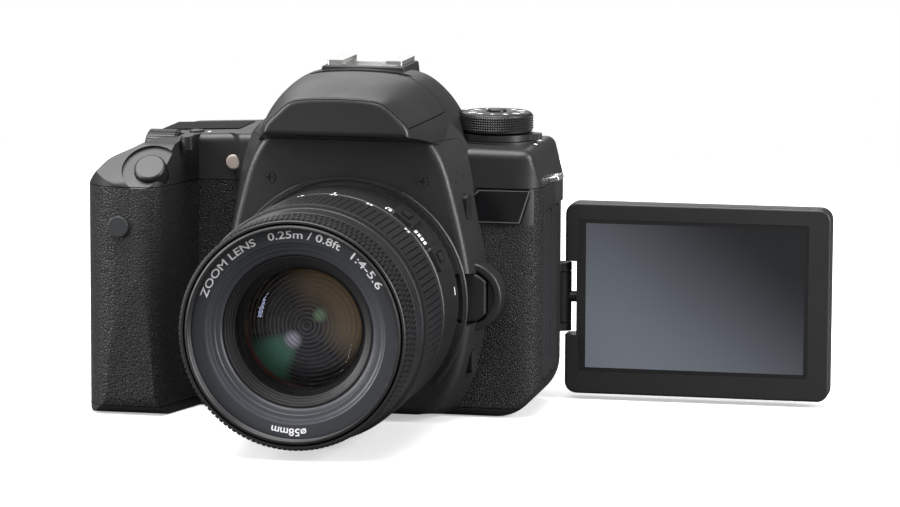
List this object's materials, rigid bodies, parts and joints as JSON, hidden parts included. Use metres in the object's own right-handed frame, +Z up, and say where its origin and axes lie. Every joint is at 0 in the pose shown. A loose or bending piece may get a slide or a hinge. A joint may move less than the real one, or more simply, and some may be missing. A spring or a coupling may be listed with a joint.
{
  "type": "dslr camera",
  "caption": "Mid-size digital reflex camera with a rubber-clad hand grip, a short zoom lens and a side-hinged monitor swung out with its screen to the front.",
  "frame": {"origin": "mouth of the tripod socket in the base, straight under the optical axis", "axes": "+X towards the monitor side, +Y from the lens to the eyepiece, +Z up"},
  "size_m": [0.2094, 0.128, 0.0999],
  "materials": {
    "satin_black": "satin, fine spark-eroded texture",
    "grip_rubber": "moulded leather grain",
    "soft_rubber": "smooth matt rubber",
    "control_black": "satin buttons and dials",
    "badge_black": "piano black, blank",
    "lens_black": "semi-matt lens casing",
    "ring_grey": "dark grey name ring",
    "interior_black": "flat light-trap black",
    "bright_steel": "bright plated steel",
    "mount_steel": "turned stainless mount",
    "socket_brass": "plated threaded bush",
    "dark_screw": "black oxide screws",
    "optical_glass": "coated optical glass",
    "window_glass": "smoked window",
    "lamp_lens": "frosted lamp lens",
    "monitor_glass": "gloss cover glass",
    "display_panel": "switched-off display",
    "mirror_silver": "front-silvered mirror",
    "sensor_face": "image sensor and frame",
    "battery_case": "battery case",
    "printed_white": "pad-printed index marks"
  },
  "bodies": {
    "camera": {"base_cover": "satin_black", "battery": "battery_case", "body_mount_ring": "mount_steel", "cover_screws": "dark_screw", "eyepiece_window": "optical_glass", "front_cover": "satin_black", "grip_rubber": "grip_rubber", "hot_shoe": "bright_steel", "info_window": "window_glass", "mirror_box": "interior_black", "name_badge": "badge_black", "prism_block": "optical_glass", "rear_cover": "satin_black", "red_eye_lamp": "lamp_lens", "remote_window": "window_glass", "sensor_unit": "sensor_face", "side_rubber": "grip_rubber", "strap_lugs": "bright_steel", "thumb_rubber": "grip_rubber", "top_cover": "satin_black", "tripod_bush": "socket_brass"},
    "reflex_mirror": {"reflex_mirror": "mirror_silver"},
    "eyecup": {"eyecup": "soft_rubber"},
    "diopter_dial": {"diopter_dial": "control_black"},
    "flash_head": {"flash_head": "satin_black", "flash_window": "optical_glass"},
    "mode_dial": {"mode_dial": "control_black"},
    "dial_lock_button": {"dial_lock_button": "control_black"},
    "power_lever": {"power_lever": "control_black"},
    "shutter_button": {"shutter_button": "control_black"},
    "af_area_button": {"af_area_button": "control_black"},
    "iso_button": {"iso_button": "control_black"},
    "menu_button": {"menu_button": "control_black"},
    "info_button": {"info_button": "control_black"},
    "live_view_button": {"live_view_button": "control_black"},
    "playback_button": {"playback_button": "control_black"},
    "flash_button": {"flash_button": "control_black"},
    "preview_button": {"preview_button": "control_black"},
    "lens_release_button": {"lens_release_button": "control_black"},
    "main_dial": {"main_dial": "control_black"},
    "quick_dial": {"quick_dial": "control_black"},
    "set_button": {"set_button": "control_black"},
    "terminal_door_front": {"terminal_door_front": "soft_rubber"},
    "terminal_door_rear": {"terminal_door_rear": "soft_rubber"},
    "card_door": {"card_door": "control_black"},
    "battery_door": {"battery_door": "control_black"},
    "monitor_hinge": {"monitor_hinge": "satin_black"},
    "monitor": {"monitor_case": "satin_black", "monitor_glass": "monitor_glass", "monitor_display": "display_panel"},
    "lens": {"lens_barrel": "lens_black"},
    "focus_mode_switch": {"focus_mode_switch": "control_black"},
    "stabiliser_switch": {"stabiliser_switch": "control_black"},
    "zoom_ring": {"zoom_ring": "lens_black"},
    "inner_barrel": {"inner_barrel": "lens_black", "name_ring": "ring_grey", "optics_cell": "interior_black", "front_element": "optical_glass", "lens_elements": "optical_glass"},
    "focus_ring": {"focus_ring": "lens_black"}
  },
  "joints": [
    {"name": "mirror_flip", "type": "hinge", "parent": "camera", "child": "reflex_mirror", "pos_m": [0, 0.0018, 0.0528], "axis": [-1, 0, 0], "range_deg": [0, 44], "stiffness_Nm_per_rad": 0.003},
    {"name": "eyecup_slide", "type": "slide", "parent": "camera", "child": "eyecup", "axis": [0, 0, 1], "range_m": [0, 0.022]},
    {"name": "diopter_turn", "type": "hinge", "parent": "camera", "child": "diopter_dial", "pos_m": [0.0223, 0.025, 0.0795], "axis": [0, 1, 0], "range_deg": [-150, 150]},
    {"name": "flash_raise", "type": "hinge", "parent": "camera", "child": "flash_head", "pos_m": [0, -0.0115, 0.0946], "axis": [-1, 0, 0], "range_deg": [0, 62]},
    {"name": "mode_turn", "type": "hinge", "parent": "camera", "child": "mode_dial", "pos_m": [0.0364, 0.005, 0.08], "axis": [0, 0, 1], "continuous": true},
    {"name": "dial_lock_press", "type": "slide", "parent": "mode_dial", "child": "dial_lock_button", "axis": [0, 0, -1], "range_m": [0, 0.0005], "stiffness_N_per_m": 150},
    {"name": "power_turn", "type": "hinge", "parent": "camera", "child": "power_lever", "pos_m": [0.0364, 0.005, 0.078], "axis": [0, 0, 1], "range_deg": [0, 40]},
    {"name": "shutter_press", "type": "slide", "parent": "camera", "child": "shutter_button", "axis": [0, 0.7071, -0.7071], "range_m": [0, 0.0008], "stiffness_N_per_m": 150},
    {"name": "af_area_press", "type": "slide", "parent": "camera", "child": "af_area_button", "axis": [0, 0, -1], "range_m": [0, 0.0006], "stiffness_N_per_m": 150},
    {"name": "iso_press", "type": "slide", "parent": "camera", "child": "iso_button", "axis": [0, 0, -1], "range_m": [0, 0.0006], "stiffness_N_per_m": 150},
    {"name": "menu_press", "type": "slide", "parent": "camera", "child": "menu_button", "axis": [0, -1, 0], "range_m": [0, 0.0006], "stiffness_N_per_m": 150},
    {"name": "info_press", "type": "slide", "parent": "camera", "child": "info_button", "axis": [0, -1, 0], "range_m": [0, 0.0006], "stiffness_N_per_m": 150},
    {"name": "live_view_press", "type": "slide", "parent": "camera", "child": "live_view_button", "axis": [0, -1, 0], "range_m": [0, 0.0006], "stiffness_N_per_m": 150},
    {"name": "playback_press", "type": "slide", "parent": "camera", "child": "playback_button", "axis": [0, -1, 0], "range_m": [0, 0.0006], "stiffness_N_per_m": 150},
    {"name": "flash_press", "type": "slide", "parent": "camera", "child": "flash_button", "axis": [-0.9474, 0.3201, 0], "range_m": [0, 0.0005], "stiffness_N_per_m": 150},
    {"name": "preview_press", "type": "slide", "parent": "camera", "child": "preview_button", "axis": [-0.9474, 0.3201, 0], "range_m": [0, 0.0005], "stiffness_N_per_m": 150},
    {"name": "lens_release_press", "type": "slide", "parent": "camera", "child": "lens_release_button", "axis": [0, 1, 0], "range_m": [0, 0.002], "stiffness_N_per_m": 200},
    {"name": "main_dial_turn", "type": "hinge", "parent": "camera", "child": "main_dial", "pos_m": [-0.056, -0.0175, 0.0734], "axis": [1, 0, 0], "continuous": true},
    {"name": "quick_dial_turn", "type": "hinge", "parent": "camera", "child": "quick_dial", "pos_m": [-0.0475, 0.025, 0.026], "axis": [0, 1, 0], "continuous": true},
    {"name": "set_press", "type": "slide", "parent": "quick_dial", "child": "set_button", "axis": [0, -1, 0], "range_m": [0, 0.0005], "stiffness_N_per_m": 150},
    {"name": "terminal_door_front_swing", "type": "hinge", "parent": "camera", "child": "terminal_door_front", "pos_m": [0.0526, -0.0086, 0.034], "axis": [0, 0, 1], "range_deg": [-100, 0]},
    {"name": "terminal_door_rear_swing", "type": "hinge", "parent": "camera", "child": "terminal_door_rear", "pos_m": [0.0526, 0.0038, 0.034], "axis": [0, 0, 1], "range_deg": [-100, 0]},
    {"name": "card_door_swing", "type": "hinge", "parent": "camera", "child": "card_door", "pos_m": [-0.0775, -0.0033, 0.033], "axis": [0, 0, 1], "range_deg": [0, 100]},
    {"name": "battery_door_swing", "type": "hinge", "parent": "camera", "child": "battery_door", "pos_m": [-0.0625, 0.005, 0.0007], "axis": [1, 0, 0], "range_deg": [0, 95]},
    {"name": "monitor_swing", "type": "hinge", "parent": "camera", "child": "monitor_hinge", "pos_m": [0.053, 0.0224, 0.0296], "axis": [0, 0, -1], "range_deg": [-180, 0]},
    {"name": "monitor_tilt", "type": "hinge", "parent": "monitor_hinge", "child": "monitor", "pos_m": [0.06, 0.0224, 0.0296], "axis": [1, 0, 0], "range_deg": [0, 270]},
    {"name": "lens_twist", "type": "hinge", "parent": "camera", "child": "lens", "pos_m": [0, -0.034, 0.0345], "axis": [0, -1, 0], "range_deg": [0, 60]},
    {"name": "zoom_turn", "type": "hinge", "parent": "lens", "child": "zoom_ring", "pos_m": [0, -0.06, 0.0345], "axis": [0, -1, 0], "range_deg": [0, 60]},
    {"name": "zoom_extend", "type": "slide", "parent": "lens", "child": "inner_barrel", "axis": [0, -1, 0], "range_m": [0, 0.01201]},
    {"name": "focus_turn", "type": "hinge", "parent": "inner_barrel", "child": "focus_ring", "pos_m": [0, -0.087, 0.0345], "axis": [0, -1, 0], "continuous": true},
    {"name": "focus_mode_slide", "type": "slide", "parent": "lens", "child": "focus_mode_switch", "axis": [0, 1, 0], "range_m": [0, 0.0024]},
    {"name": "stabiliser_slide", "type": "slide", "parent": "lens", "child": "stabiliser_switch", "axis": [0, 1, 0], "range_m": [0, 0.0024]}
  ],
  "couplings": [
    {"joint": "zoom_extend", "follows": "zoom_turn", "m_per_rad": 0.01146}
  ]
}
